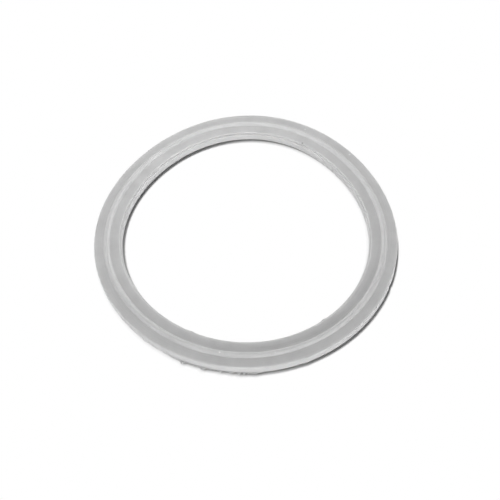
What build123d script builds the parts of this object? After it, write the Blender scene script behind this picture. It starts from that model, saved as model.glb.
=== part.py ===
from build123d import *
import math
import os

# A moulded ring gasket for a clamped pipe flange, in millimetres.
# The ring's axis is Z. The origin is the centre of the bore, half way up the flat web.
# The face with the ledge is up, and the front of the ring is towards -Y.

# The flat web: its bore, then the bands inside and outside the bead's crest
bore_diameter = 97.5
inner_band_width = 5.75
outer_band_width = 5.0
web_thickness = 3.7

# The sealing bead on each face: a round crest on flanks that lean in from upright
bead_height = 1.15
bead_crest_radius = 0.85
bead_flank_angle = 30.0

# The small ledge around the bore, sunk into the upper face
ledge_width = 0.7
ledge_depth = 0.8

# The eased edges of the moulding
outer_top_bevel = 0.4
outer_bottom_bevel = 0.15
rim_bevel = 0.2
bore_bevel = 0.15

# The thin torn flash left on the lower outer edge, at the front and a little to the left
flash_thickness = 0.35
flash_reach = 0.3
flash_root = 0.8
flash_start_angle = 238.0
flash_end_angle = 270.0

# The four scraps that stand out from that flash, each with its place, width and reach
hook_angle = 243.3
hook_width = 1.7
hook_reach = 1.3
tongue_angle = 251.0
tongue_width = 3.2
tongue_reach = 0.95
tooth_angle = 257.4
tooth_width = 1.1
tooth_reach = 0.7
stub_angle = 261.2
stub_width = 2.6
stub_reach = 0.5

bore_radius = bore_diameter / 2
bead_radius = bore_radius + inner_band_width
outer_radius = bead_radius + outer_band_width
rim_radius = bore_radius + ledge_width
top_face = web_thickness / 2
bottom_face = -web_thickness / 2
ledge_floor = top_face - ledge_depth
flash_bottom = bottom_face + outer_bottom_bevel
flash_root_radius = outer_radius - flash_root


def web_section():
    """The flat web from the bore to the outer wall, with the ledge sunk into its top."""
    web_width = outer_radius - bore_radius
    web = Pos(bore_radius + web_width / 2, 0) * Rectangle(web_width, web_thickness)
    ledge_place = Pos(bore_radius + ledge_width / 2, top_face - ledge_depth / 2)
    return web - ledge_place * Rectangle(ledge_width, ledge_depth)


def bead_section(face_height, up):
    """One bead on a face of the web. up is 1 on the upper face and -1 on the lower one."""
    lean = math.radians(bead_flank_angle)
    crest_centre = bead_height - bead_crest_radius
    foot = bead_crest_radius / math.cos(lean) + crest_centre * math.tan(lean)
    shoulder = bead_crest_radius * math.cos(lean)
    shoulder_rise = crest_centre + bead_crest_radius * math.sin(lean)
    shoulder_height = face_height + up * shoulder_rise
    crest_height = face_height + up * bead_height
    flanks = Polyline(
        (bead_radius - shoulder, shoulder_height),
        (bead_radius - foot, face_height),
        (bead_radius + foot, face_height),
        (bead_radius + shoulder, shoulder_height),
    )
    crest = ThreePointArc(
        (bead_radius + shoulder, shoulder_height),
        (bead_radius, crest_height),
        (bead_radius - shoulder, shoulder_height),
    )
    return make_face(flanks + crest)


def eased(section, radius, height, bevel):
    """The section with a small bevel on its corner at this radius and height."""
    place = Vector(radius, height, 0)
    corner = section.vertices().sort_by_distance(place)[0]
    return chamfer(corner, bevel)


def gasket_section():
    """The whole section: web, ledge and both beads, with its edges eased."""
    section = web_section()
    section += bead_section(top_face, 1)
    section += bead_section(bottom_face, -1)
    section = eased(section, outer_radius, top_face, outer_top_bevel)
    section = eased(section, outer_radius, bottom_face, outer_bottom_bevel)
    section = eased(section, rim_radius, top_face, rim_bevel)
    section = eased(section, bore_radius, ledge_floor, bore_bevel)
    section = eased(section, bore_radius, bottom_face, bore_bevel)
    return section


def ring():
    """The section turned once around the axis."""
    return revolve(Plane.XZ * gasket_section(), Axis.Z, 360)


def flash_film():
    """The low film of flash that runs along part of the lower outer edge."""
    width = flash_root + flash_reach
    middle = flash_root_radius + width / 2
    place = Pos(middle, 0, flash_bottom + flash_thickness / 2)
    section = Plane.XZ * Rectangle(width, flash_thickness)
    film = revolve(place * section, Axis.Z, flash_end_angle - flash_start_angle)
    return Rot(0, 0, flash_start_angle) * film


def torn_scrap(angle, width, reach, lean):
    """One torn scrap of flash: wide at its root, narrow at its tip, leaning to one side."""
    tip_radius = outer_radius + reach
    tip_middle = lean * width / 2
    outline = Polyline(
        (flash_root_radius, -width / 2),
        (outer_radius, -width / 2),
        (tip_radius, tip_middle - width / 6),
        (tip_radius, tip_middle + width / 6),
        (outer_radius, width / 2),
        (flash_root_radius, width / 2),
        close=True,
    )
    scrap = extrude(make_face(outline), flash_thickness)
    return Rot(0, 0, angle) * Pos(0, 0, flash_bottom) * scrap


def gasket():
    """The one moulded piece: the ring with its torn flash."""
    body = ring() + flash_film()
    body += torn_scrap(hook_angle, hook_width, hook_reach, 0.5)
    body += torn_scrap(tongue_angle, tongue_width, tongue_reach, 0.0)
    body += torn_scrap(tooth_angle, tooth_width, tooth_reach, 0.3)
    body += torn_scrap(stub_angle, stub_width, stub_reach, -0.2)
    return body


os.makedirs("parts", exist_ok=True)
export_step(gasket(), "parts/gasket_ring.step")
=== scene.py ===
import math

import bmesh
import bpy
from mathutils import Matrix, Vector, noise


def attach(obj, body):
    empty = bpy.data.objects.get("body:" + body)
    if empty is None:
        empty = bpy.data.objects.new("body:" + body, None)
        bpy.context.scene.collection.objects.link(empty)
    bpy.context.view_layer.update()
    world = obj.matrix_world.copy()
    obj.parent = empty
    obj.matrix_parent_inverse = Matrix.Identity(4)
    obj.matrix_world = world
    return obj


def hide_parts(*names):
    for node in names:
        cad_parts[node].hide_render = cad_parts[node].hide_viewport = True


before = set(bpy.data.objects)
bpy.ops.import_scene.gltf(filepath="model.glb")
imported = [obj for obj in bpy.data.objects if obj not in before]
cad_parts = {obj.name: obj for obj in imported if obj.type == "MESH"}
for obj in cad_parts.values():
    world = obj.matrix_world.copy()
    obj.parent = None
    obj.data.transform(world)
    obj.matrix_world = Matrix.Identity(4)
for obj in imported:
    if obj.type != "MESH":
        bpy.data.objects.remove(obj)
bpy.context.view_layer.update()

# Sizes are in metres, and the ring lies as the solid model does:
# the bore's centre at the origin, +Z up, the front of the ring towards -Y.
MM = 0.001
BORE_RADIUS = 48.75 * MM
BEAD_RADIUS = 54.5 * MM
OUTER_RADIUS = 59.5 * MM
RIM_RADIUS = 49.45 * MM
FACE_HEIGHT = 1.85 * MM
LEDGE_HEIGHT = 1.05 * MM
TABLE_HEIGHT = -3.0 * MM

# The bead on each face: its height, half its width at the face, and how far its flanks lean in
BEAD_HEIGHT = 1.15 * MM
BEAD_FOOT = 1.155 * MM
FLANK_LEAN = math.radians(30.0)

# How far from each corner of the section its rounding starts
BEAD_FOOT_ROUND = 0.12 * MM
OUTER_TOP_ROUND = 0.55 * MM
OUTER_BOTTOM_ROUND = 0.15 * MM
RIM_ROUND = 0.28 * MM
LEDGE_BACK_ROUND = 0.12 * MM
BORE_ROUND = 0.15 * MM

# The steps of one full turn of the section
RING_STEPS = 720


def new_piece(name, bm):
    """Turn a finished bmesh into a smoothly shaded object of the scene."""
    mesh = bpy.data.meshes.new(name)
    bm.to_mesh(mesh)
    bm.free()
    mesh.shade_smooth()
    piece = bpy.data.objects.new(name, mesh)
    bpy.context.scene.collection.objects.link(piece)
    return piece


# The gasket ring

def round_corner(bm, corner, reach, steps):
    """Round one corner of the flat section, starting this far along its two edges."""
    bmesh.ops.bevel(bm, geom=[corner], offset=reach, offset_type="OFFSET",
                    segments=steps, profile=0.5, affect="VERTICES", material=-1)


def bead_apex_rise():
    """How high the bead's two flanks would meet above the face if they were not rounded off."""
    return BEAD_FOOT / math.tan(FLANK_LEAN)


def bead_round_reach():
    """How far down each flank the bead's round crest begins, so that the crest has its height."""
    lost = bead_apex_rise() - BEAD_HEIGHT
    middle_of_round = 1.0 - math.sqrt(0.5)
    return lost / (2.0 * middle_of_round * math.cos(FLANK_LEAN))


def draw_section(bm):
    """The cross section as one flat face on the +X side: web, ledge, bead above and bead below."""
    def corner(radius, height):
        return bm.verts.new((radius, 0.0, height))

    rise = bead_apex_rise()
    bore_bottom = corner(BORE_RADIUS, -FACE_HEIGHT)
    bore_top = corner(BORE_RADIUS, LEDGE_HEIGHT)
    ledge_back = corner(RIM_RADIUS, LEDGE_HEIGHT)
    rim = corner(RIM_RADIUS, FACE_HEIGHT)
    upper_foot_in = corner(BEAD_RADIUS - BEAD_FOOT, FACE_HEIGHT)
    upper_apex = corner(BEAD_RADIUS, FACE_HEIGHT + rise)
    upper_foot_out = corner(BEAD_RADIUS + BEAD_FOOT, FACE_HEIGHT)
    outer_top = corner(OUTER_RADIUS, FACE_HEIGHT)
    outer_bottom = corner(OUTER_RADIUS, -FACE_HEIGHT)
    lower_foot_out = corner(BEAD_RADIUS + BEAD_FOOT, -FACE_HEIGHT)
    lower_apex = corner(BEAD_RADIUS, -FACE_HEIGHT - rise)
    lower_foot_in = corner(BEAD_RADIUS - BEAD_FOOT, -FACE_HEIGHT)
    bm.faces.new([bore_bottom, bore_top, ledge_back, rim, upper_foot_in, upper_apex, upper_foot_out,
                  outer_top, outer_bottom, lower_foot_out, lower_apex, lower_foot_in])
    for apex in (upper_apex, lower_apex):
        round_corner(bm, apex, bead_round_reach(), steps=14)
    for foot in (upper_foot_in, upper_foot_out, lower_foot_in, lower_foot_out):
        round_corner(bm, foot, BEAD_FOOT_ROUND, steps=3)
    round_corner(bm, outer_top, OUTER_TOP_ROUND, steps=8)
    round_corner(bm, outer_bottom, OUTER_BOTTOM_ROUND, steps=3)
    round_corner(bm, rim, RIM_ROUND, steps=5)
    round_corner(bm, ledge_back, LEDGE_BACK_ROUND, steps=3)
    round_corner(bm, bore_top, BORE_ROUND, steps=4)
    round_corner(bm, bore_bottom, BORE_ROUND, steps=3)


# Small faults of the moulded edges: bearing in degrees, then half width, outward shift, and the
# radii between which it acts, all in millimetres
FAULTS = {
    "outer_notch": (330.7, 0.7, -0.35, 58.6, 60.0),
    "outer_bump": (287.4, 1.4, 0.2, 58.6, 60.0),
    "outer_spike": (226.7, 0.5, 0.35, 59.3, 60.0),
    "inner_burr": (301.0, 0.8, -0.35, 48.0, 49.9),
    "inner_step": (242.2, 0.9, -0.25, 48.0, 49.9),
    "inner_lump": (36.4, 0.7, 0.3, 48.0, 49.9),
    "second_inner_lump": (34.9, 0.5, -0.3, 48.0, 49.9),
}
# A fault has faded out this many half widths from its middle
FAULT_FADED = 3.0


def fault_edges(bm):
    """Push the edges in or out a little where the moulding has a notch, a bump or a burr."""
    for angle, half_width, shift, low, high in FAULTS.values():
        for vert in bm.verts:
            radius = math.hypot(vert.co.x, vert.co.y)
            if not low * MM < radius < high * MM:
                continue
            bearing = math.degrees(math.atan2(vert.co.y, vert.co.x))
            turned = (bearing - angle + 180.0) % 360.0 - 180.0
            away = math.radians(turned) * radius / (half_width * MM)
            if abs(away) < FAULT_FADED:
                push = shift * MM * math.exp(-away * away) / radius
                vert.co.x += vert.co.x * push
                vert.co.y += vert.co.y * push


# How the ring lies out of round: the number of lobes, their height in millimetres, and the
# bearing of one lobe in degrees
LOBES = {
    "oval": (2, 0.93, 106),
    "three_sided": (3, 0.63, 77),
    "four_sided": (4, 0.25, -6),
}


def lie_relaxed(bm):
    """Soft silicone doesn't lie quite round: it is a little oval, and a little three and four sided."""
    for vert in bm.verts:
        bearing = math.atan2(vert.co.y, vert.co.x)
        shift = 0.0
        for count, height, towards in LOBES.values():
            shift += height * MM * math.cos(count * (bearing - math.radians(towards)))
        vert.co.x += shift * math.cos(bearing)
        vert.co.y += shift * math.sin(bearing)


def ring_mesh():
    """Spin the section once around the axis."""
    bm = bmesh.new()
    draw_section(bm)
    bmesh.ops.delete(bm, geom=list(bm.faces), context="FACES_ONLY")
    bmesh.ops.spin(bm, geom=list(bm.verts) + list(bm.edges), cent=(0, 0, 0), axis=(0, 0, 1),
                   dvec=(0, 0, 0), angle=math.tau, steps=RING_STEPS, use_merge=True,
                   use_normal_flip=False, use_duplicate=False)
    bmesh.ops.recalc_face_normals(bm, faces=list(bm.faces))
    return bm


# The torn scraps of flash: bearing in degrees, width and reach in millimetres, and lean to one side
SCRAPS = {
    "hook": (243.3, 1.7, 1.3, 0.5),
    "tongue": (251.0, 3.2, 0.95, 0.0),
    "tooth": (257.4, 1.1, 0.7, 0.3),
    "stub": (261.2, 2.6, 0.5, -0.2),
    "lip": (269.0, 3.6, 0.6, 0.3),
}
# 1 gives pointed scraps, and more gives blunt ones
SCRAP_BLUNTNESS = 1.6

# Where the film of flash starts and ends, where it is in tatters, and how it fades at its ends
FLASH_START = math.radians(236.0)
FLASH_END = math.radians(272.0)
TATTERS_START = math.radians(255.5)
TATTERS_END = math.radians(267.0)
FADE_IN = 0.05
FADE_OUT = 0.02

# The film's middle reach and the tatters' least one, in millimetres, and where in the noise the
# tears are read
FILM_REACH = 0.25
TATTERS_REACH = 0.04
NOISE_PER_RADIAN = 60.0
NOISE_ROW = 3.7

# The film's section: its root and a second row inside the ring, the radius past which a point is
# on the free edge, and the film's height and thickness
FLASH_ROOT = OUTER_RADIUS - 0.5 * MM
INSIDE_WALL = OUTER_RADIUS - 0.1 * MM
FREE_EDGE = OUTER_RADIUS - 0.02 * MM
FLASH_BOTTOM = -FACE_HEIGHT + 0.12 * MM
FLASH_THICKNESS = 0.28 * MM
FLASH_STEPS = 420

# The free edge droops by a share of its reach, and is thinner by a share of the thickness
FLASH_DROOP = 0.25
EDGE_THINNING = 0.45


def tear(bearing, depth, fineness):
    """One layer of uneven tearing along the film, out or in by up to this depth in millimetres."""
    place = Vector((bearing * NOISE_PER_RADIAN, 0.0, NOISE_ROW))
    return depth * noise.noise(place * fineness)


def flash_reach(bearing):
    """How far the torn film stands out from the wall at this bearing."""
    if TATTERS_START < bearing < TATTERS_END:
        ragged = TATTERS_REACH + max(0.0, tear(bearing, depth=1.9, fineness=0.95))
    else:
        ragged = FILM_REACH + tear(bearing, depth=0.20, fineness=0.8)
        ragged += tear(bearing, depth=0.12, fineness=2.6)
    fade = min(1.0, (bearing - FLASH_START) / FADE_IN, (FLASH_END - bearing) / FADE_OUT)
    reach = max(0.0, ragged) * max(0.0, fade)
    for angle, width, tip, lean in SCRAPS.values():
        away = (bearing - math.radians(angle)) * OUTER_RADIUS / MM - lean * width / 4
        half = width / 2 * (1.0 - lean * math.copysign(0.5, away))
        if abs(away) < half:
            reach = max(reach, tip * (1.0 - (abs(away) / half) ** SCRAP_BLUNTNESS))
    return reach * MM


def torn_flash(bm):
    """The thin film torn along part of the lower outer edge."""
    turn = Matrix.Rotation(FLASH_START, 4, "Z")
    row = [bm.verts.new(turn @ Vector((radius, 0, FLASH_BOTTOM)))
           for radius in (FLASH_ROOT, INSIDE_WALL, OUTER_RADIUS)]
    edges = [bm.edges.new(pair) for pair in zip(row, row[1:])]
    bmesh.ops.spin(bm, geom=row + edges, cent=(0, 0, 0), axis=(0, 0, 1), dvec=(0, 0, 0),
                   angle=FLASH_END - FLASH_START, steps=FLASH_STEPS, use_merge=False,
                   use_normal_flip=False, use_duplicate=False)
    lifted = bmesh.ops.extrude_face_region(bm, geom=list(bm.faces), use_keep_orig=True)
    top = [item for item in lifted["geom"] if isinstance(item, bmesh.types.BMVert)]
    bmesh.ops.translate(bm, verts=top, vec=(0, 0, FLASH_THICKNESS))
    for vert in bm.verts:
        if math.hypot(vert.co.x, vert.co.y) > FREE_EDGE:
            bearing = math.atan2(vert.co.y, vert.co.x) % math.tau
            reach = flash_reach(bearing)
            vert.co += Vector((math.cos(bearing), math.sin(bearing), 0)) * reach
            vert.co.z -= reach * FLASH_DROOP
            if vert.co.z > FLASH_BOTTOM + FLASH_THICKNESS / 2:
                vert.co.z -= FLASH_THICKNESS * EDGE_THINNING
    bmesh.ops.recalc_face_normals(bm, faces=list(bm.faces))


def gasket():
    """The one moulded piece: the ring, with its torn flash."""
    ring = ring_mesh()
    fault_edges(ring)
    flash = bmesh.new()
    torn_flash(flash)
    film = bpy.data.meshes.new("flash_film")
    flash.to_mesh(film)
    flash.free()
    ring.from_mesh(film)
    bpy.data.meshes.remove(film)
    lie_relaxed(ring)
    piece = new_piece("silicone_ring", ring)
    weighted = piece.modifiers.new("even_normals", "WEIGHTED_NORMAL")
    weighted.mode = "FACE_AREA"
    weighted.weight = 60
    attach(piece, "root")
    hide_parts("gasket_ring")
    return piece


# Helpers that build shader nodes

def link(tree, source, target):
    tree.links.new(source, target)


def feed(tree, value, socket):
    """Link an output to this input, or set the input to a plain value."""
    if isinstance(value, bpy.types.NodeSocket):
        link(tree, value, socket)
    else:
        socket.default_value = value


def change_value(tree, control, low, high, from_low=0.0, from_high=1.0, smooth=False):
    """A value that goes from low to high as its control goes from one value to another."""
    change = tree.nodes.new("ShaderNodeMapRange")
    if smooth:
        change.interpolation_type = "SMOOTHSTEP"
    change.inputs["From Min"].default_value = from_low
    change.inputs["From Max"].default_value = from_high
    change.inputs["To Min"].default_value = low
    change.inputs["To Max"].default_value = high
    link(tree, control, change.inputs["Value"])
    return change.outputs["Result"]


def calculate(tree, operation, first, second):
    """Add or multiply two values, or take the larger one."""
    node = tree.nodes.new("ShaderNodeMath")
    node.operation = operation
    feed(tree, first, node.inputs[0])
    feed(tree, second, node.inputs[1])
    return node.outputs["Value"]


def mix(tree, share, first, second, kind="FLOAT"):
    """Go from the first value or colour to the second one by this share."""
    node = tree.nodes.new("ShaderNodeMix")
    node.data_type = kind
    link(tree, share, node.inputs["Factor"])
    feed(tree, first, node.inputs["A"])
    feed(tree, second, node.inputs["B"])
    return node.outputs["Result"]


def noise_pattern(tree, place, scale, detail, roughness=0.5):
    """An uneven pattern in all directions. A larger scale makes it finer."""
    pattern = tree.nodes.new("ShaderNodeTexNoise")
    pattern.inputs["Scale"].default_value = scale
    pattern.inputs["Detail"].default_value = detail
    pattern.inputs["Roughness"].default_value = roughness
    link(tree, place, pattern.inputs["Vector"])
    return pattern.outputs["Fac"]


# The silicone

# Small marks on the ring: bearing in degrees, radius, height and size in millimetres
DARK_SPECKS = {
    "speck_by_the_rim": (57.2, 50.0, 1.85, 0.42),
    "speck_on_the_inner_wall": (17.9, 48.7, 0.6, 0.35),
    "lump_on_the_inner_wall": (36.4, 49.0, 0.9, 0.45),
}
PALE_SPECKS = {
    "speck_on_the_outer_band": (59.6, 57.5, 1.85, 0.4),
    "scuff_on_the_outer_band": (36.3, 56.8, 1.85, 0.5),
    "speck_on_the_left_rim": (125.2, 49.0, 1.5, 0.35),
    "speck_on_the_far_left_rim": (158.1, 49.0, 1.5, 0.4),
    "speck_on_the_bead": (256.5, 54.7, 3.0, 0.45),
    "second_speck_on_the_bead": (277.1, 55.4, 2.7, 0.4),
}
# The share of a mark's size that has its full colour
SPECK_CORE = 0.4

SPECK_DARK = (0.22, 0.22, 0.21, 1)
SPECK_PALE = (0.88, 0.88, 0.88, 1)
CLOUD_DARK = (0.63, 0.63, 0.63, 1)
CLOUD_PALE = (0.73, 0.73, 0.73, 1)

# Clouds, the lines around the ring, and the grain of the surface: scales, and shares of the tint
CLOUD_SCALE = 160.0
LINES_SCALE = 1500.0
GRAIN_SCALE = 1400.0
CLOUD_SHARE = 0.7
LINES_SHARE = 0.3

# Nearly all of a noise pattern lies between these values
NOISE_LOW = 0.3
NOISE_HIGH = 0.7

# The satin surface and the light inside it
SMOOTHEST = 0.36
ROUGHEST = 0.48
GRAIN_STRENGTH = 0.04
GRAIN_DEPTH = 0.00003
SILICONE_IOR = 1.41
INNER_GLOW = 0.4
INNER_GLOW_DEPTH = 0.0022
CLEARNESS = 0.05


def specks(tree, place, marks):
    """1 on the marks and 0 beside them, with a soft edge."""
    found = 0.0
    for angle, radius, height, size in marks.values():
        away = tree.nodes.new("ShaderNodeVectorMath")
        away.operation = "DISTANCE"
        away.inputs[1].default_value = (MM * radius * math.cos(math.radians(angle)),
                                        MM * radius * math.sin(math.radians(angle)), MM * height)
        link(tree, place, away.inputs[0])
        near = change_value(tree, away.outputs["Value"], 1.0, 0.0, SPECK_CORE * size * MM, size * MM)
        found = calculate(tree, "MAXIMUM", near, found)
    return found


def lines_around(tree, place):
    """Faint lines that run around the ring, because they change only with the radius."""
    across = tree.nodes.new("ShaderNodeVectorMath")
    across.operation = "LENGTH"
    link(tree, place, across.inputs[0])
    lines = tree.nodes.new("ShaderNodeTexNoise")
    lines.noise_dimensions = "1D"
    lines.inputs["Scale"].default_value = LINES_SCALE
    lines.inputs["Detail"].default_value = 2.0
    link(tree, across.outputs["Value"], lines.inputs["W"])
    return lines.outputs["Fac"]


def cloudy_tint(tree, place):
    """Grey-white that is cloudy, with faint lines that run around the ring."""
    cloud = noise_pattern(tree, place, CLOUD_SCALE, detail=5.0, roughness=0.6)
    both = calculate(tree, "ADD", calculate(tree, "MULTIPLY", cloud, CLOUD_SHARE),
                     calculate(tree, "MULTIPLY", lines_around(tree, place), LINES_SHARE))
    tint = tree.nodes.new("ShaderNodeValToRGB")
    dark, pale = tint.color_ramp.elements
    dark.position = NOISE_LOW
    dark.color = CLOUD_DARK
    pale.position = NOISE_HIGH
    pale.color = CLOUD_PALE
    link(tree, both, tint.inputs["Fac"])
    return tint.outputs["Color"]


def silicone():
    """Translucent grey-white silicone, satin and faintly cloudy, with a few specks."""
    material = bpy.data.materials.new("cloudy_silicone")
    material.use_nodes = True
    tree = material.node_tree
    shader = tree.nodes["Principled BSDF"]
    place = tree.nodes.new("ShaderNodeTexCoord").outputs["Object"]

    colour = cloudy_tint(tree, place)
    colour = mix(tree, specks(tree, place, DARK_SPECKS), colour, SPECK_DARK, "RGBA")
    colour = mix(tree, specks(tree, place, PALE_SPECKS), colour, SPECK_PALE, "RGBA")
    link(tree, colour, shader.inputs["Base Color"])

    grain = noise_pattern(tree, place, GRAIN_SCALE, detail=3.0)
    satin = change_value(tree, grain, SMOOTHEST, ROUGHEST, NOISE_LOW, NOISE_HIGH)
    link(tree, satin, shader.inputs["Roughness"])
    bump = tree.nodes.new("ShaderNodeBump")
    bump.inputs["Strength"].default_value = GRAIN_STRENGTH
    bump.inputs["Distance"].default_value = GRAIN_DEPTH
    link(tree, grain, bump.inputs["Height"])
    link(tree, bump.outputs["Normal"], shader.inputs["Normal"])

    shader.inputs["IOR"].default_value = SILICONE_IOR
    shader.inputs["Subsurface Weight"].default_value = INNER_GLOW
    shader.inputs["Subsurface Radius"].default_value = (1.0, 1.0, 1.0)
    shader.inputs["Subsurface Scale"].default_value = INNER_GLOW_DEPTH
    shader.inputs["Transmission Weight"].default_value = CLEARNESS
    return material


# The table and the light

TABLE_HALF_SIZE = 3.0
# The table's tone for light bouncing about, and the darker painted shadow tone it shows to the camera
# under the ring
BOUNCE_TONE = 0.8
SHADOW_TONE = 0.42

# The dark line under the ring is painted shadow, drawn from two tests of how sheltered the table is:
# from above, and towards a low light on the left that no lamp gives. Each has its reach, and the
# openness at which it is dark or clear.
SHELTER_SAMPLES = 16
ABOVE_REACH = 1.7 * MM
ABOVE_DARK = 0.87
ABOVE_CLEAR = 0.96
LEFT_REACH = 6.0 * MM
LEFT_DARK = 0.65
LEFT_CLEAR = 1.0
# A low light from the left that no lamp gives: the bearing and height of the painted shadow's light
PAINTED_SHADOW_LIGHT_BEARING = math.radians(200)
PAINTED_SHADOW_LIGHT_ELEVATION = math.radians(25)

# The glows low down around the ring: bearing in degrees, and strength
GLOWS = {
    "front": (270, 3.1),
    "right": (0, 1.32),
    "behind_left": (120, 1.5),
}
# How much a direction has to face a glow to get all of it
GLOW_FULL = 0.7
GLOW_TOP = math.radians(21.0)
DARK_ABOVE = math.radians(23.0)
SHOWN_WHITE = 1.0

LAMP_BEARING = math.radians(105)
LAMP_ELEVATION = math.radians(60)
LAMP_DISTANCE = 0.35
LAMP_WIDTH = 0.2
LAMP_WATTS = 0.69


def seen_directly(tree):
    """1 for what the camera sees, also in a mirror or through glass, and 0 for light bouncing about."""
    path = tree.nodes.new("ShaderNodeLightPath")
    mirrored = calculate(tree, "MAXIMUM", path.outputs["Is Camera Ray"], path.outputs["Is Glossy Ray"])
    return calculate(tree, "MAXIMUM", mirrored, path.outputs["Is Transmission Ray"])


def shelter(tree, reach):
    """A test of how open a point of the table is, this far around it."""
    test = tree.nodes.new("ShaderNodeAmbientOcclusion")
    test.samples = SHELTER_SAMPLES
    test.inputs["Distance"].default_value = reach
    return test


def open_above(tree):
    """1 where the table is open from above, and 0 close in under the ring, where shadow is painted."""
    test = shelter(tree, ABOVE_REACH)
    return change_value(tree, test.outputs["AO"], 0.0, 1.0, ABOVE_DARK, ABOVE_CLEAR, smooth=True)


def painted_shadow_from_the_left(tree):
    """1 where the table is open towards a low light from the left, and 0 where the ring is in its way:
    a painted shadow, as no lamp shines from there.
    """
    aim = tree.nodes.new("ShaderNodeCombineXYZ")
    aim.inputs["X"].default_value = math.cos(PAINTED_SHADOW_LIGHT_BEARING) * math.cos(PAINTED_SHADOW_LIGHT_ELEVATION)
    aim.inputs["Y"].default_value = math.sin(PAINTED_SHADOW_LIGHT_BEARING) * math.cos(PAINTED_SHADOW_LIGHT_ELEVATION)
    aim.inputs["Z"].default_value = math.sin(PAINTED_SHADOW_LIGHT_ELEVATION)
    test = shelter(tree, LEFT_REACH)
    link(tree, aim.outputs["Vector"], test.inputs["Normal"])
    return change_value(tree, test.outputs["AO"], 0.0, 1.0, LEFT_DARK, LEFT_CLEAR, smooth=True)


def table():
    """A plain white table top. It shows white, but under the ring it shows its real lit shade at a
    darker painted tone: a painted shadow line, which fades where the table is open towards a low light
    from the left that no lamp gives."""
    bm = bmesh.new()
    bmesh.ops.create_grid(bm, x_segments=1, y_segments=1, size=TABLE_HALF_SIZE)
    bmesh.ops.translate(bm, verts=list(bm.verts), vec=(0, 0, TABLE_HEIGHT))
    top = new_piece("table", bm)
    material = bpy.data.materials.new("table_white")
    material.use_nodes = True
    tree = material.node_tree
    nodes = tree.nodes
    nodes.remove(nodes["Principled BSDF"])
    # Painted shadow: where the tests find shelter, the table shows its darker painted tone, not white
    clear_of_painted_shadow = calculate(tree, "MAXIMUM", open_above(tree), painted_shadow_from_the_left(tree))
    seen = seen_directly(tree)
    matt = nodes.new("ShaderNodeBsdfDiffuse")
    link(tree, change_value(tree, seen, BOUNCE_TONE, SHADOW_TONE), matt.inputs["Color"])
    white = nodes.new("ShaderNodeEmission")
    choice = nodes.new("ShaderNodeMixShader")
    link(tree, calculate(tree, "MULTIPLY", seen, clear_of_painted_shadow), choice.inputs[0])
    link(tree, matt.outputs["BSDF"], choice.inputs[1])
    link(tree, white.outputs["Emission"], choice.inputs[2])
    link(tree, choice.outputs["Shader"], nodes["Material Output"].inputs["Surface"])
    top.data.materials.append(material)
    return top


def horizon_glow(tree, bearing, strength):
    """Light from this side: strongest towards the bearing and gone at right angles to it."""
    side = math.radians(bearing)
    direction = tree.nodes.new("ShaderNodeTexCoord")
    towards = tree.nodes.new("ShaderNodeVectorMath")
    towards.operation = "DOT_PRODUCT"
    towards.inputs[1].default_value = (math.cos(side), math.sin(side), 0)
    link(tree, direction.outputs["Generated"], towards.inputs[0])
    return change_value(tree, towards.outputs["Value"], 0.0, strength, 0.0, GLOW_FULL)


def surround():
    """A surround that is bright low down, in front most, and dark overhead. It shows white."""
    world = bpy.data.worlds.new("studio")
    bpy.context.scene.world = world
    world.use_nodes = True
    tree = world.node_tree
    nodes = tree.nodes
    glow = 0.0
    for bearing, strength in GLOWS.values():
        glow = calculate(tree, "ADD", horizon_glow(tree, bearing, strength), glow)
    direction = nodes.new("ShaderNodeTexCoord")
    parts = nodes.new("ShaderNodeSeparateXYZ")
    link(tree, direction.outputs["Generated"], parts.inputs["Vector"])
    low_down = change_value(tree, parts.outputs["Z"], 1.0, 0.0,
                            math.sin(GLOW_TOP), math.sin(DARK_ABOVE))
    light = calculate(tree, "MULTIPLY", glow, low_down)
    mirrored = calculate(tree, "MAXIMUM", light, SHOWN_WHITE)
    lit = mix(tree, seen_directly(tree), light, mirrored)
    path = nodes.new("ShaderNodeLightPath")
    shown = mix(tree, path.outputs["Is Camera Ray"], lit, SHOWN_WHITE)
    background = nodes["Background"]
    background.inputs["Color"].default_value = (1, 1, 1, 1)
    link(tree, shown, background.inputs["Strength"])


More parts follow.
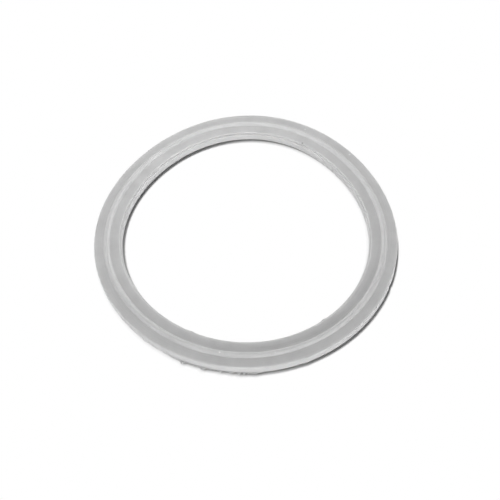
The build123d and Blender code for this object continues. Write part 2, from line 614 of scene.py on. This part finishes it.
def high_lamp():
    """One soft lamp high behind the ring and a little to its left."""
    data = bpy.data.lights.new("high_lamp", "AREA")
    data.shape = "DISK"
    data.size = LAMP_WIDTH
    data.energy = LAMP_WATTS
    lamp = bpy.data.objects.new("high_lamp", data)
    turn = Matrix.Rotation(LAMP_BEARING, 4, "Z") @ Matrix.Rotation(-LAMP_ELEVATION, 4, "Y")
    lamp.location = turn @ Vector((LAMP_DISTANCE, 0, 0))
    lamp.rotation_euler = lamp.location.to_track_quat("Z", "Y").to_euler()
    lamp.visible_camera = False
    lamp.visible_glossy = False
    bpy.context.scene.collection.objects.link(lamp)


# The camera of the square photograph: where it stands, its focal length in pixels, and where in
# the picture the ring's middle is, in pixels from the top left
PHOTO_SIZE = 500.0
CAMERA_ELEVATION = math.radians(54.53)
CAMERA_ROLL = math.radians(-5.0)
CAMERA_DISTANCE = 5.875 * OUTER_RADIUS
FOCAL_LENGTH = 885.9
MIDDLE_ACROSS = 245.43
MIDDLE_DOWN = 235.38
SENSOR_WIDTH = 36.0


def photo_camera():
    """The photograph's view: 54.5 degrees down on the ring, with a slight roll."""
    back = Vector((0, -math.cos(CAMERA_ELEVATION), math.sin(CAMERA_ELEVATION)))
    right = Vector((1, 0, 0))
    up = back.cross(right)
    rolled_right = right * math.cos(CAMERA_ROLL) + up * math.sin(CAMERA_ROLL)
    rolled_up = up * math.cos(CAMERA_ROLL) - right * math.sin(CAMERA_ROLL)
    target = Vector((0, 0, -FACE_HEIGHT))
    turn = Matrix((rolled_right, rolled_up, back)).transposed().to_4x4()
    data = bpy.data.cameras.new("photo_camera")
    camera = bpy.data.objects.new("photo_camera", data)
    camera.matrix_world = Matrix.Translation(target + back * CAMERA_DISTANCE) @ turn
    data.sensor_fit = "HORIZONTAL"
    data.sensor_width = SENSOR_WIDTH
    data.lens = FOCAL_LENGTH / PHOTO_SIZE * SENSOR_WIDTH
    data.shift_x = (PHOTO_SIZE / 2 - MIDDLE_ACROSS) / PHOTO_SIZE
    data.shift_y = (MIDDLE_DOWN - PHOTO_SIZE / 2) / PHOTO_SIZE
    data.clip_start = 0.01
    bpy.context.scene.collection.objects.link(camera)
    bpy.context.scene.camera = camera


ring = gasket()
ring.data.materials.append(silicone())
table()
surround()
high_lamp()
photo_camera()
bpy.context.scene.view_settings.view_transform = "Standard"
